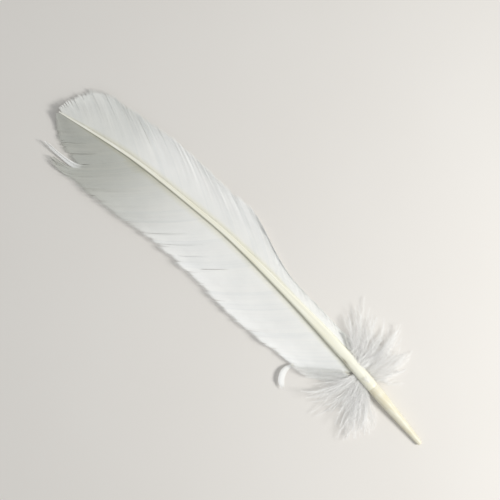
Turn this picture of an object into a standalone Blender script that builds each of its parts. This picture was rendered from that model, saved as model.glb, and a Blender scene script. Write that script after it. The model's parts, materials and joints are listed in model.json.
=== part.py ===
"""A natural wing quill, the raw form of a quill pen, lying with its grooved side up.

Tables are in millimetres in the quill's own frame: y runs from the point to the vane's tip, x towards
the narrow vane, z up from the surface that the quill lies on. Everything hangs from one empty, which
puts the world's origin at the bottom centre of the object's box.
"""

import math

import bmesh
import bpy
from mathutils import Vector

MM = 0.001

# Driving dimensions, in millimetres
BARREL_LENGTH = 45.5
BARREL_RADIUS = 3.65
BARREL_WALL = 0.4
POINT_OPENING_RADIUS = 0.45
CORTEX_WALL_BASE = 0.42
CORTEX_WALL_TIP = 0.28
PITH_LENGTH = 208.0
GAP = 0.3  # between pieces that touch
WEB_THICKNESS = 0.3
DOWN_THICKNESS = 1.2
MEMBRANE_THICKNESS = 0.16
POINT_HEIGHT = 1.6  # the barrel's axis above the surface at the point
BARREL_END_LIFT = 0.5  # the shaft's underside above the surface where the barrel ends
TIP_LIFT = 5.0  # how far the shaft's tip curves up off the surface
LIFT_START = 165.0
BELLY_HEIGHT = 0.2  # the vane's lowest stretch
TURN_STEPS = 28
SHAFT_SIDES = 16

# The shaft's centre line: (y, x)
SHAFT_LINE = (
    (0, 0), (BARREL_LENGTH, 6.1), (85, 10.4), (122, 12.8), (170, 14.6),
    (207, 13.1), (244, 10.4), (268, 6.7), (299.6, 0.6),
)
# The shaft above the barrel: (y, width, height)
SHAFT_SECTION = (
    (BARREL_LENGTH, 7.2, 7.2), (60, 7.1, 7.0), (85, 6.5, 6.2), (122, 4.6, 4.9),
    (183, 3.05, 3.4), (244, 2.15, 2.4), (292, 1.1, 1.3), (299.6, 0.7, 0.7),
)
# The barrel's outside: (distance from the point, radius)
BARREL_OUTLINE = (
    (0, 1.2), (1.2, 1.55), (8, 2.0), (16, 2.45), (24, 2.9), (34, 3.4), (41, BARREL_RADIUS),
    (BARREL_LENGTH, 3.6),
)

# Barbs that set the vane's outline: (root y on the shaft, end y, end x)
WIDE_BARBS = (
    (59.7, 89.5, -17.7), (78, 109.6, -19.9), (103.5, 138.2, -21.7), (135.8, 170.5, -20.3),
    (168.7, 202.8, -19.7), (190, 227.2, -23.0), (210.1, 247.9, -24.8), (236, 273, -26.4),
)
WIDE_TIP_BARBS = (
    (248, 272.3, -17.0), (258, 282.5, -15.4), (268, 289.5, -13.0), (280, 295, -8.4), (297.5, 300.8, -1.1),
)
NARROW_BARBS = (
    (70, 80, 18.6), (91.4, 102.5, 20.2), (112.7, 126.5, 22), (120, 141, 25.6), (135.2, 172.3, 36.5),
    (149.2, 190.6, 36.2), (188.8, 231.4, 36.4), (210.1, 251.5, 34.5), (231.4, 271, 31.5),
    (249.7, 286.2, 29), (266.1, 295.4, 22.6), (287.4, 301, 8.5), (297.5, 301.4, 2.2),
)
WIDE_DOWN_BARBS = (
    (46.6, 25.5, -12.5), (49.5, 29.5, -26), (53.5, 48, -29), (58.6, 78, -24.5),
)
NARROW_DOWN_BARBS = (
    (46.6, 33.5, 20.5), (52, 46, 40), (58, 60.5, 45), (64, 78, 42), (69, 92, 33),
)

# Where the barbs have parted: roots of the webs' ends, and how far each gap has opened at the edge
WIDE_SPLITS = (59.7, 78, 93, 119, 144, 167, 190, 210, 235.5)
WIDE_TIP_SPLITS = (248, 268, 297.5)
NARROW_SPLITS = (70, 91.4, 112.7, 135.2, 149.2, 169.3, 188.8, 210.1, 231.4, 252.7, 274, 297.5)
SPLIT_AT_ROOT = 0.8
SPLIT_AT_EDGE = 1.6

DOWN_TUFTS = 7
PULP_CAPS = 7


def clamp(value, low=0.0, high=1.0):
    return max(low, min(high, value))


def mix(a, b, share):
    return a + (b - a) * share


def ease(start, end, value):
    """0 before start, 1 after end, and a smooth step between them."""
    share = clamp((value - start) / (end - start))
    return share * share * (3 - 2 * share)


def smooth(knots, at):
    """The values at this first coordinate on a smooth curve through the knots."""
    last = len(knots) - 1
    i = max(0, min(last - 1, sum(knot[0] <= at for knot in knots) - 1))

    def slope(k, column):
        before, after = knots[max(k - 1, 0)], knots[min(k + 1, last)]
        return (after[column] - before[column]) / (after[0] - before[0])

    a, b = knots[i], knots[i + 1]
    span = b[0] - a[0]
    t = (at - a[0]) / span
    values = []
    for column in range(1, len(a)):
        values.append(
            a[column] * (2 * t**3 - 3 * t**2 + 1)
            + b[column] * (3 * t**2 - 2 * t**3)
            + slope(i, column) * span * (t**3 - 2 * t**2 + t)
            + slope(i + 1, column) * span * (t**3 - t**2)
        )
    return values if len(values) > 1 else values[0]


# The shaft's geometry


def underside(y):
    """How high the shaft's lowest line is above the surface."""
    barrel_end = BARREL_END_LIFT * (1 - ease(BARREL_LENGTH, 80, y))
    return barrel_end + TIP_LIFT * clamp((y - LIFT_START) / (300 - LIFT_START), 0, 1.02) ** 2


def attachment(y):
    """Where the barbs meet the shaft: below the middle of its side."""
    return underside(y) + 0.35 * smooth(SHAFT_SECTION, y)[1]


def shaft_tangent(y):
    return Vector((smooth(SHAFT_LINE, y + 1) - smooth(SHAFT_LINE, y - 1), 2, 0)).normalized()


def shaft_ring(y, inset):
    """The shaft's section at y, drawn in by inset: round at first, then squarer and grooved on top."""
    width, height = smooth(SHAFT_SECTION, y)
    half_width, half_height = width / 2 - inset, height / 2 - inset
    power = mix(1.0, 0.72, ease(48, 90, y))
    groove = 0.16 * height * ease(58, 95, y) * (1 - ease(275, 299, y))
    tangent = shaft_tangent(y)
    across = Vector((tangent.y, -tangent.x, 0))
    centre = Vector((smooth(SHAFT_LINE, y), y, underside(y) + height / 2))
    ring = []
    for i in range(SHAFT_SIDES):
        angle = math.tau * i / SHAFT_SIDES
        side = math.copysign(abs(math.cos(angle)) ** power, math.cos(angle))
        up = math.copysign(abs(math.sin(angle)) ** power, math.sin(angle))
        drop = groove * math.exp(-((side / 0.35) ** 2)) if up > 0 else 0
        ring.append(centre + across * (side * half_width) + Vector((0, 0, up * half_height - drop)))
    return ring


# The vane's geometry


def barb_point(barbs, root_y, f, rim):
    """A point on the barb that starts at root_y: f is 0 beside the shaft and 1 at the vane's edge."""
    end_y, end_x = smooth(barbs, root_y)
    side = 1 if end_x > smooth(SHAFT_LINE, root_y) else -1
    tangent = shaft_tangent(root_y)
    out = Vector((tangent.y, -tangent.x, 0)) * side
    clearance = smooth(SHAFT_SECTION, root_y)[0] / 2 + GAP
    root = Vector((smooth(SHAFT_LINE, root_y), root_y, 0)) + out * clearance
    end = Vector((end_x, end_y, 0))
    length = (end - root).length
    knee = (root + end) / 2 + (out - tangent).normalized() * (0.07 * length)
    point = root * (1 - f) ** 2 + knee * (2 * f * (1 - f)) + end * f**2

    attach = attachment(root_y)
    belly = mix(BELLY_HEIGHT, attach, ease(270, 305, root_y))
    flatter = 0.8 * ease(205, 252, root_y) if side < 0 else 0
    curl = rim * (1 - flatter) * clamp(length / 25) * (clamp(f - 0.7) / 0.3) ** 2
    fall_end = mix(0.55, 0.95, ease(200, 260, root_y))
    point.z = mix(attach, belly, ease(0, fall_end, f)) + curl
    return point


def down_point(barbs, root_y, f, lift):
    """A point in a tuft of down: f is 0 beside the shaft and 1 at the tuft's soft end."""
    point = barb_point(barbs, root_y, f, 0)
    point.z = mix(3.4, 2.6 + lift, ease(0, 1, f))
    return point


# Making objects


def clear_scene():
    for obj in list(bpy.data.objects):
        bpy.data.objects.remove(obj, do_unlink=True)


def make_material(name, colour, roughness, metallic=0.0):
    material = bpy.data.materials.new(name)
    material.use_nodes = True
    shader = material.node_tree.nodes["Principled BSDF"]
    shader.inputs["Base Color"].default_value = (*colour, 1)
    shader.inputs["Roughness"].default_value = roughness
    shader.inputs["Metallic"].default_value = metallic
    return material


def add_object(name, mesh, material, collection, parent):
    obj = bpy.data.objects.new(name, mesh)
    mesh.materials.append(material)
    mesh.shade_smooth()
    collection.objects.link(obj)
    obj.parent = parent
    return obj


def add_sheet(name, surface, columns, rows, thickness, *place):
    """A thin piece: a grid laid on surface(u, v), with u and v from 0 to 1, and given a thickness."""
    shape = bmesh.new()
    bmesh.ops.create_grid(shape, x_segments=columns, y_segments=rows, size=0.5)
    for vertex in shape.verts:
        vertex.co = surface(vertex.co.x + 0.5, vertex.co.y + 0.5) * MM
    mesh = bpy.data.meshes.new(name)
    shape.to_mesh(mesh)
    shape.free()
    obj = add_object(name, mesh, *place)
    solidify = obj.modifiers.new("thickness", "SOLIDIFY")
    solidify.thickness = thickness * MM
    solidify.offset = 0
    return obj


def add_loft(name, rings, *place):
    """A solid skinned over a run of rings, closed at both ends by flat faces."""
    shape = bmesh.new()
    loops = [[shape.verts.new(point * MM) for point in ring] for ring in rings]
    sides = len(rings[0])
    for here, there in zip(loops, loops[1:]):
        for i in range(sides):
            j = (i + 1) % sides
            shape.faces.new((here[i], here[j], there[j], there[i]))
    shape.faces.new(reversed(loops[0]))
    shape.faces.new(loops[-1])
    bmesh.ops.recalc_face_normals(shape, faces=shape.faces)
    mesh = bpy.data.meshes.new(name)
    shape.to_mesh(mesh)
    shape.free()
    obj = add_object(name, mesh, *place)
    mesh.set_sharp_from_angle(angle=math.radians(50))
    return obj


def add_turned(name, profile, closed, steps, *place):
    """A piece turned about the barrel's axis. The profile is (distance from the point, radius)."""
    mesh = bpy.data.meshes.new(name)
    edges = [(i, i + 1) for i in range(len(profile) - 1)]
    if closed:
        edges.append((len(profile) - 1, 0))
    mesh.from_pydata([(radius * MM, 0, along * MM) for along, radius in profile], edges, [])
    obj = add_object(name, mesh, *place)
    end_y, end_x = SHAFT_LINE[1]
    rise = underside(end_y) + smooth(SHAFT_SECTION, end_y)[1] / 2 - POINT_HEIGHT
    lean = math.atan2(end_x, end_y)
    slope = math.atan2(rise, math.hypot(end_x, end_y))
    obj.location = (0, 0, POINT_HEIGHT * MM)
    obj.rotation_euler = (slope - math.pi / 2, 0, -lean)
    screw = obj.modifiers.new("turn", "SCREW")
    screw.axis = "Z"
    screw.steps = screw.render_steps = steps
    screw.use_merge_vertices = True
    screw.merge_threshold = 0.00001
    return obj


# The shaft's pieces


def barrel_radius(along):
    return smooth(BARREL_OUTLINE, along)


def build_barrel(material, *place):
    stations = [knot[0] for knot in BARREL_OUTLINE]
    outside = [(along, barrel_radius(along)) for along in reversed(stations)]
    inside = [(0, POINT_OPENING_RADIUS), (1.2, POINT_OPENING_RADIUS)]
    inside += [(along, barrel_radius(along) - BARREL_WALL) for along in stations[1:]]
    add_turned("calamus_barrel", outside + inside, True, TURN_STEPS, material, *place)

    plug = [(1.0, 0), (1.0, 0.15), (0.1, 0.15), (0.1, 0)]
    add_turned("inferior_umbilicus_plug", plug, False, 10, material, *place)


def build_pulp_caps(material, *place):
    """Dried membranes: thin domed cups one above the other inside the barrel."""
    first, pitch, depth = 6.5, 5.2, 3.8
    for k in range(PULP_CAPS):
        rim = first + k * pitch
        crown = rim + depth
        radius = barrel_radius(rim) - BARREL_WALL - GAP
        crown_radius = 0.6 * radius
        outside = [(crown, 0), (crown - 0.4, crown_radius), (rim + 0.8, radius), (rim, radius)]
        inner = radius - MEMBRANE_THICKNESS
        inside = [
            (rim, inner),
            (rim + 0.8, inner),
            (crown - 0.4 - MEMBRANE_THICKNESS, crown_radius - MEMBRANE_THICKNESS),
            (crown - MEMBRANE_THICKNESS, 0),
        ]
        add_turned(f"pulp_cap_{k + 1:02d}", outside + inside, False, 14, material, *place)


def build_septum(material, *place):
    radius = barrel_radius(44) - BARREL_WALL - GAP
    disc = [(44.6, 0), (44.6, radius), (43.9, radius), (43.9, 0)]
    add_turned("pith_septum", disc, False, 16, material, *place)


def cortex_wall(y):
    return mix(CORTEX_WALL_BASE, CORTEX_WALL_TIP, ease(60, 200, y))


def build_rachis(cortex_material, pith_material, *place):
    start, end = BARREL_LENGTH + GAP, 299.6
    outer_count, inner_count = 23, 18
    cavity_end = start + PITH_LENGTH + 4

    outer = [mix(start, end, k / (outer_count - 1)) for k in range(outer_count)]
    inner = [mix(start, cavity_end, k / (inner_count - 1)) for k in range(inner_count)]
    rings = [shaft_ring(y, cortex_wall(y)) for y in reversed(inner)]
    rings += [shaft_ring(y, 0) for y in outer]
    add_loft("rachis_cortex", rings, cortex_material, *place)

    pith = [mix(start + 1, start + PITH_LENGTH, k / (inner_count - 1)) for k in range(inner_count)]
    rings = [shaft_ring(y, cortex_wall(y) + 0.8 * GAP) for y in pith]
    add_loft("rachis_pith", rings, pith_material, *place)


# The vane's pieces


def build_webs(prefix, barbs, splits, rim, columns, first_number, *place):
    """One web for each run of hooked barbs between two splits."""
    for k, (low, high) in enumerate(zip(splits, splits[1:])):

        def surface(u, v, low=low, high=high):
            half_gap = mix(SPLIT_AT_ROOT, SPLIT_AT_EDGE, v) / 2
            return barb_point(barbs, mix(low + half_gap, high - half_gap, u), v, rim)

        name = f"{prefix}_{first_number + k:02d}"
        add_sheet(name, surface, columns, 6, WEB_THICKNESS, *place)


def build_down(prefix, barbs, *place):
    """Tufts of free barbs that fan out round the top of the barrel."""
    low, high = barbs[0][0], barbs[-1][0]
    pitch = (high - low) / DOWN_TUFTS
    for k in range(DOWN_TUFTS):
        start = low + k * pitch
        lift = 1.8 * (k % 2)

        def surface(u, v, start=start, lift=lift):
            taper = mix(0.92, 0.84, v**3)
            root = start + pitch * (0.5 + (u - 0.5) * taper)
            return down_point(barbs, root, v * (1 - 0.2 * (2 * u - 1) ** 2), lift)

        add_sheet(f"{prefix}_{k + 1:02d}", surface, 4, 6, DOWN_THICKNESS, *place)


def build_ribbon(name, route, width, *place):
    """A lock of loose barbs: a strip along a route of (share, x, y, z), narrowing to its end."""

    def surface(u, v):
        here = Vector(smooth(route, u))
        ahead = Vector(smooth(route, u + 0.01)) - Vector(smooth(route, u - 0.01))
        across = Vector((ahead.y, -ahead.x, 0)).normalized()
        return here + across * (v - 0.5) * width * mix(1, 0.35, u)

    add_sheet(name, surface, 12, 2, WEB_THICKNESS, *place)


def build_loose_barbs(*place):
    root_x = smooth(SHAFT_LINE, 243) - 2.7
    route = (
        (0, root_x, 243, attachment(243)), (0.35, -3.2, 255.2, 3.2), (0.6, -15.6, 268.8, 3.1),
        (0.75, -19.8, 276, 3.2), (1, -18.2, 296, 4.0),
    )
    build_ribbon("loose_barb_lock_01", route, 2.8, *place)

    root_x = smooth(SHAFT_LINE, 239) - 2.5
    route = (
        (0, root_x, 239, attachment(239)), (0.4, -5.2, 252.5, 2.0), (0.72, -20, 266.5, 2.6),
        (0.85, -23.4, 275, 3.2), (1, -21.8, 290, 4.0),
    )
    build_ribbon("loose_barb_lock_02", route, 2.2, *place)

    route = (
        (0, -19.0, 90.5, 2.2), (0.35, -23.0, 91.6, 2.4), (0.7, -28.0, 88.6, 2.4), (1, -32.3, 84.7, 1.6),
    )
    build_ribbon("curled_barb_strip", route, 2.2, *place)


def build_umbilicus_tuft(*place):
    """A few barbs on top of the shaft where the barrel ends."""

    def surface(u, v):
        y = 49 + 9 * v
        top = underside(y) + smooth(SHAFT_SECTION, y)[1] + GAP + 0.3
        return Vector((smooth(SHAFT_LINE, y) + (u - 0.5) * mix(1.2, 3.2, v), y, top + 1.4 * v * v))

    add_sheet("superior_umbilicus_tuft", surface, 3, 4, 0.4, *place)


def move_origin_to_base(parent):
    """Shift the whole object so that the world's origin is at the bottom centre of its box."""
    bpy.context.view_layer.update()
    graph = bpy.context.evaluated_depsgraph_get()
    corners = []
    for obj in parent.children:
        evaluated = obj.evaluated_get(graph)
        mesh = evaluated.to_mesh()
        corners += [evaluated.matrix_world @ vertex.co for vertex in mesh.vertices]
        evaluated.to_mesh_clear()
    low = Vector(min(corner[i] for corner in corners) for i in range(3))
    high = Vector(max(corner[i] for corner in corners) for i in range(3))
    parent.location = (-(low.x + high.x) / 2, -(low.y + high.y) / 2, -low.z)


def build_quill():
    clear_scene()
    collection = bpy.data.collections.new("quill_pen")
    bpy.context.scene.collection.children.link(collection)
    parent = bpy.data.objects.new("quill_frame", None)
    collection.objects.link(parent)
    place = (collection, parent)

    barrel = make_material("barrel_horn", (0.78, 0.70, 0.52), 0.35)
    membrane = make_material("pulp_membrane", (0.50, 0.36, 0.22), 0.6)
    cortex = make_material("shaft_horn", (0.86, 0.82, 0.62), 0.3)
    pith = make_material("pith_foam", (0.92, 0.90, 0.84), 0.9)
    vane = make_material("vane_barbs", (0.86, 0.87, 0.85), 0.7)
    down = make_material("down_barbs", (0.90, 0.90, 0.88), 0.9)

    build_barrel(barrel, *place)
    build_pulp_caps(membrane, *place)
    build_septum(membrane, *place)
    build_rachis(cortex, pith, *place)
    wide_count = len(WIDE_SPLITS) - 1
    build_webs("wide_vane_web", WIDE_BARBS, WIDE_SPLITS, 3.5, 6, 1, vane, *place)
    build_webs("wide_vane_web", WIDE_TIP_BARBS, WIDE_TIP_SPLITS, 1.5, 6, wide_count + 1, vane, *place)
    build_webs("narrow_vane_web", NARROW_BARBS, NARROW_SPLITS, 2.0, 6, 1, vane, *place)
    build_loose_barbs(vane, *place)
    build_down("wide_down", WIDE_DOWN_BARBS, down, *place)
    build_down("narrow_down", NARROW_DOWN_BARBS, down, *place)
    build_umbilicus_tuft(down, *place)
    move_origin_to_base(parent)


build_quill()
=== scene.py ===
"""Looks for a natural wing quill: its barbs, barbules, shaft and barrel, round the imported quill.

Tables are in millimetres in the quill's own frame: y from the point to the vane's tip, x towards the
narrow vane, z up from the surface. The record's point_end mount gives where that frame's origin is.
"""

import json
import math

import bpy
import numpy as np
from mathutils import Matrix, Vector


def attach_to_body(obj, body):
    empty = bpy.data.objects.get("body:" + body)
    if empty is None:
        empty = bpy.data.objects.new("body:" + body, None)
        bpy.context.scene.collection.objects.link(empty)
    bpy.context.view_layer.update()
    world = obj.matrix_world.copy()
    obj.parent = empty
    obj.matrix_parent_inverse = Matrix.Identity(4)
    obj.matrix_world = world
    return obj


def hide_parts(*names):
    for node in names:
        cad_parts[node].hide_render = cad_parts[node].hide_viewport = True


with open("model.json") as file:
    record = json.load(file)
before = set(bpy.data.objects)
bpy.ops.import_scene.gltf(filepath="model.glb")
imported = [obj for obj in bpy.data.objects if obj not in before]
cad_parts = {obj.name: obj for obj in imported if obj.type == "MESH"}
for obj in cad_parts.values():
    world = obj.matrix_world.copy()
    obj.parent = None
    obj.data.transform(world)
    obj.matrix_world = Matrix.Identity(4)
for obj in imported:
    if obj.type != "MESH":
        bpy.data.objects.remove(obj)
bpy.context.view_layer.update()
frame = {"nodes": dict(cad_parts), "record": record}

MM = 0.001
QUILL_LENGTH = 300
SHAFT_START = 44.8  # the shaft's first ring, inside the barrel's upper end
SHAFT_END = 299.6
PITH_END = 257.5
BARREL_LENGTH = 45.5
BARREL_RADIUS = 3.65
BARREL_WALL = 0.4
OPENING_RADIUS = 0.45
OPENING_DEPTH = 1.2
RING_MIDDLE = 0.75  # from the barrel's axis up to the record's point_end mount
POINT_HEIGHT = 1.6  # the barrel's axis above the surface at the point
BARREL_END_LIFT = 0.5  # the shaft's underside above the surface where the barrel ends
TIP_LIFT = 5.0  # how far the shaft's tip curves up off the surface
LIFT_START = 165.0
BELLY_HEIGHT = 0.45  # the vane's lowest stretch
CREASE_Y = 68.5  # a dent across the shaft's wide side

# SHAFT_LINE is (y, x) and SHAFT_SECTION (y, width, height). BARREL_OUTLINE is (distance along the barrel,
# radius). The tables of barbs and of down are (the root's y, the end's y, the end's x).
SHAFT_LINE = (
    (0, 0), (BARREL_LENGTH, 6.1), (85, 10.4), (122, 12.8), (170, 14.6),
    (207, 13.1), (244, 10.4), (268, 6.7), (SHAFT_END, 0.6),
)
SHAFT_SECTION = (
    (BARREL_LENGTH, 7.2, 7.2), (60, 7.1, 7.0), (85, 6.5, 6.2), (122, 4.6, 4.9),
    (183, 3.05, 3.4), (244, 2.15, 2.4), (292, 1.1, 1.3), (SHAFT_END, 0.7, 0.7),
)
BARREL_OUTLINE = (
    (0, 1.2), (1.2, 1.55), (8, 2.0), (16, 2.45), (24, 2.9), (34, 3.4), (41, BARREL_RADIUS),
    (BARREL_LENGTH, 3.6),
)
WIDE_BARBS = (
    (59.7, 89.5, -17.7), (78, 109.6, -19.9), (103.5, 138.2, -21.7), (135.8, 170.5, -20.3),
    (168.7, 202.8, -19.7), (190, 227.2, -23.0), (210.1, 247.9, -24.8), (236, 273, -26.4),
)
WIDE_TIP_BARBS = (
    (248, 272.3, -17.0), (258, 282.5, -15.4), (268, 289.5, -13.0), (280, 295, -8.4), (297.5, 300.8, -1.1),
)
NARROW_BARBS = (
    (70, 80, 18.6), (91.4, 102.5, 20.2), (112.7, 126.5, 22), (120, 141, 25.6), (135.2, 172.3, 36.5),
    (149.2, 190.6, 36.2), (188.8, 231.4, 36.4), (210.1, 251.5, 34.5), (231.4, 271, 31.5),
    (249.7, 286.2, 29), (266.1, 295.4, 22.6), (287.4, 301, 8.5), (297.5, 301.4, 2.2),
)
WIDE_DOWN_BARBS = (
    (46.6, 25.5, -12.5), (49.5, 29.5, -26), (53.5, 48, -29), (58.6, 78, -24.5),
)
NARROW_DOWN_BARBS = (
    (46.6, 33.5, 20.5), (52, 46, 40), (58, 60.5, 45), (64, 78, 42), (69, 92, 33),
)
WIDE_SPLITS = (59.7, 78, 93, 119, 144, 167, 190, 210, 235.5)
WIDE_TIP_SPLITS = (248, 268, 297.5)
NARROW_SPLITS = (70, 91.4, 112.7, 135.2, 149.2, 169.3, 188.8, 210.1, 231.4, 252.7, 274, 297.5)

# Small partings: (root, opening at the edge, where along the barb it starts, reach along the shaft)
WIDE_PARTINGS = ((173.5, 0.2, 0.5, 2.0), (191.5, 0.2, 0.5, 2.0))
NARROW_PARTINGS = (
    (128, 0.3, 0.5, 3.0), (133, 0.2, 0.55, 2.0), (141, 0.3, 0.5, 3.0), (146, 0.2, 0.5, 2.0),
    (152, 0.3, 0.6, 3.0), (281, 0.7, 0.7, 1.5), (284.5, 1.1, 0.6, 1.3), (287, 1.0, 0.65, 1.0),
    (289.5, 1.2, 0.55, 1.0), (292, 1.0, 0.6, 1.0), (294.5, 0.8, 0.5, 1.0),
)
SPLIT_PARTING = (0.7, 0.72, 6.0)  # the same three numbers for the parting at each split

# The curled strip's middle line: (share, x, y, z)
CURL_ROUTE = (
    (0, -16.4, 90.2, 1.9), (0.35, -22.4, 91.8, 2.3), (0.7, -28.4, 89.4, 2.4), (1, -32.6, 83.6, 1.4),
)

# The stretch of shaft between the two parts of the wide vane, which the loose locks share; the shares of
# a barb's length at which its path is set; and where each lock's first and last barb start and end
LOOSE_STRETCH = (236.0, 248.0)
LOOSE_SHARES = (0, 0.22, 0.44, 0.62, 0.8, 1)
LOCK_1_ROOTS = (243.6, 247.8)
LOCK_2_ROOTS = (235.7, 243.3)
LOCK_1_TIPS = ((-19.3, 297.0, 3.0), (-17.6, 295.5, 3.4))
LOCK_2_TIPS = ((-25.2, 284.5, 2.6), (-22.0, 287.5, 3.0))

# The vane's sheet
ROOT_SHARE = 0.44  # of the shaft's width, from its middle to where a barb starts
KNEE_SHARE = 0.07  # of a barb's length, how far it bows
WIDE_RIM = 3.3  # how far the edge curls up
WIDE_TIP_RIM = 0.8
NARROW_RIM = 1.9
RIM_START = 0.7  # share of a barb's length where the curl begins
RIM_SPAN = 0.3
FULL_RIM_LENGTH = 25  # shorter barbs curl less
FLAT_RIM = 0.8  # how much of the wide side's curl is lost towards the tip
FLAT_RIM_Y = (205, 252)
LEVEL_Y = (270, 305)  # where the vane's middle rises to the height of its roots
FALL_SHARES = (0.55, 0.95)  # share of a barb over which it comes down: at the base, at the tip
FALL_Y = (200, 260)
RIPPLES = ((0.18, 5.3, 2.2), (0.06, 2.1, -1.7), (0.025, 0.83, 2.9))  # size, spacing, slant

# Barbs
WIDE_PITCH = 0.6
NARROW_PITCH = 0.8
STATIONS = 24  # points along a barb
LOWEST_BARB = 0.14
BARB_SHARP = 38  # degrees
BASE_END = 100  # a vane that starts below here has a fluffy base edge
FLUFF_BARBS = 30

# Down
DOWN_TUFTS = 7
DOWN_LOCKS = 5  # in a tuft
LOCK_BARBS = 3
DOWN_STATIONS = 28
DOWN_HEIGHTS = (0.15, 11.0)
LOWEST_BARBULE = 0.06
BARBULE_SPREAD = 52.0  # degrees from the barb
BARBULE_STEPS = np.array([0.0, 0.35, 0.7, 1.0])
BARBULE_RADII = np.array([0.022, 0.02, 0.013, 0.004])
PIT_BARBS = 3
WISPS = 18

ALMOST_UP = [0.02, 0.01, 1.0]  # off the vertical, so that no thread runs along it


# Small maths, on whole arrays


def mix(a, b, share):
    return a + (b - a) * share


def ease(start, end, value):
    share = np.clip((np.asarray(value, float) - start) / (end - start), 0, 1)
    return share * share * (3 - 2 * share)


def unit(vectors):
    return vectors / np.maximum(np.linalg.norm(vectors, axis=-1, keepdims=True), 1e-9)


def smooth(knots, at):
    """The values at these first coordinates on a smooth curve through the knots."""
    knots = np.asarray(knots, float)
    x, v = knots[:, 0], knots[:, 1:]
    slope = np.empty_like(v)
    slope[1:-1] = (v[2:] - v[:-2]) / (x[2:] - x[:-2])[:, None]
    slope[0] = (v[1] - v[0]) / (x[1] - x[0])
    slope[-1] = (v[-1] - v[-2]) / (x[-1] - x[-2])
    at = np.asarray(at, float)
    i = np.clip(np.searchsorted(x, at, side="right") - 1, 0, len(x) - 2)
    span = (x[i + 1] - x[i])[..., None]
    t = (at - x[i])[..., None] / span
    out = (
        v[i] * (2 * t**3 - 3 * t**2 + 1)
        + v[i + 1] * (3 * t**2 - 2 * t**3)
        + slope[i] * span * (t**3 - 2 * t**2 + t)
        + slope[i + 1] * span * (t**3 - t**2)
    )
    return out[..., 0] if out.shape[-1] == 1 else out


def xyz(x, y, z):
    return np.stack(np.broadcast_arrays(x, y, z), axis=-1).astype(float)


# The quill's shape


def underside(y):
    barrel_end = BARREL_END_LIFT * (1 - ease(BARREL_LENGTH, 80, y))
    share = np.clip((y - LIFT_START) / (QUILL_LENGTH - LIFT_START), 0, 1.02)
    return barrel_end + TIP_LIFT * share**2


def barrel_axes():
    """The barrel's directions: along it, across it and up from it."""
    end_y, end_x = SHAFT_LINE[1]
    rise = underside(end_y) + smooth(SHAFT_SECTION, end_y)[1] / 2 - POINT_HEIGHT
    lean, slope = math.atan2(end_x, end_y), math.atan2(rise, math.hypot(end_x, end_y))
    flat = np.array([math.sin(lean), math.cos(lean), 0.0])
    along = flat * math.cos(slope) + np.array([0, 0, math.sin(slope)])
    across = np.array([math.cos(lean), -math.sin(lean), 0.0])
    return along, across, np.cross(across, along)


def origin():
    """Where the quill frame's origin is in the world, in metres, from the mount on the point's flat ring."""
    mount = next(m for m in frame["record"]["mounts"] if m["name"] == "point_end")
    on_ring = barrel_axes()[2] * RING_MIDDLE + np.array([0, 0, POINT_HEIGHT])
    return np.array(mount["pos_m"]) - on_ring * MM


def attachment(y):
    return underside(y) + 0.35 * smooth(SHAFT_SECTION, y)[..., 1]


def shaft_tangent(y):
    dx = smooth(SHAFT_LINE, y + 1) - smooth(SHAFT_LINE, y - 1)
    return unit(xyz(dx, 2.0, 0.0))


def barb_surface(barbs, root_y, f, rim, side):
    """Points on the vane: root_y picks the barb, f runs from 0 in the shaft to 1 at the vane's edge."""
    root_y, f = np.broadcast_arrays(np.asarray(root_y, float), np.asarray(f, float))
    ends = smooth(barbs, root_y)
    tangent = shaft_tangent(root_y)
    out = xyz(tangent[..., 1], -tangent[..., 0], 0.0) * side
    clearance = ROOT_SHARE * smooth(SHAFT_SECTION, root_y)[..., 0]
    root = xyz(smooth(SHAFT_LINE, root_y), root_y, 0.0) + out * clearance[..., None]
    end = xyz(ends[..., 1], ends[..., 0], 0.0)
    length = np.linalg.norm(end - root, axis=-1)
    knee = (root + end) / 2 + unit(out - tangent) * (KNEE_SHARE * length)[..., None]
    g = f[..., None]
    point = root * (1 - g) ** 2 + knee * (2 * g * (1 - g)) + end * g**2
    attach = attachment(root_y)
    belly = mix(BELLY_HEIGHT, attach, ease(*LEVEL_Y, root_y))
    flatter = FLAT_RIM * ease(*FLAT_RIM_Y, root_y) if side < 0 else 0.0
    curl = rim * (1 - flatter) * np.clip(length / FULL_RIM_LENGTH, 0, 1)
    curl = curl * (np.clip(f - RIM_START, 0, 1) / RIM_SPAN) ** 2
    fall = ease(0, 1, f / mix(*FALL_SHARES, ease(*FALL_Y, root_y)))
    point[..., 2] = mix(attach, belly, fall) + curl
    return point


SHIFT = origin()


# Building meshes


def add_piece(name, points, faces, material, nodes, slot, attributes=None, sharp=None):
    """One piece from points in millimetres and face arrays of any number of corners.

    Edges sharper than this many degrees stay sharp. Without a number the faces are shaded flat.
    """
    mesh = bpy.data.meshes.new(name)
    mesh.vertices.add(len(points))
    mesh.vertices.foreach_set("co", (points * MM + SHIFT).ravel())
    loops = np.concatenate([block.ravel() for block in faces]).astype(np.int32)
    totals = np.concatenate([np.full(len(block), block.shape[1]) for block in faces])
    starts = np.concatenate([[0], np.cumsum(totals)[:-1]]).astype(np.int32)
    mesh.loops.add(len(loops))
    mesh.loops.foreach_set("vertex_index", loops)
    mesh.polygons.add(len(totals))
    mesh.polygons.foreach_set("loop_start", starts)
    mesh.update(calc_edges=True)
    if sharp is None:
        mesh.shade_flat()
    else:
        mesh.shade_smooth()
        mesh.set_sharp_from_angle(angle=math.radians(sharp))
    for key, values in (attributes or {}).items():
        layer = mesh.attributes.new(key, "FLOAT", "POINT")
        layer.data.foreach_set("value", np.asarray(values, np.float32).ravel())
    mesh.materials.append(material)
    piece = bpy.data.objects.new(name, mesh)
    bpy.context.scene.collection.objects.link(piece)
    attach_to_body(piece, "root")
    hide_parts(*nodes)
    return piece


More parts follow.
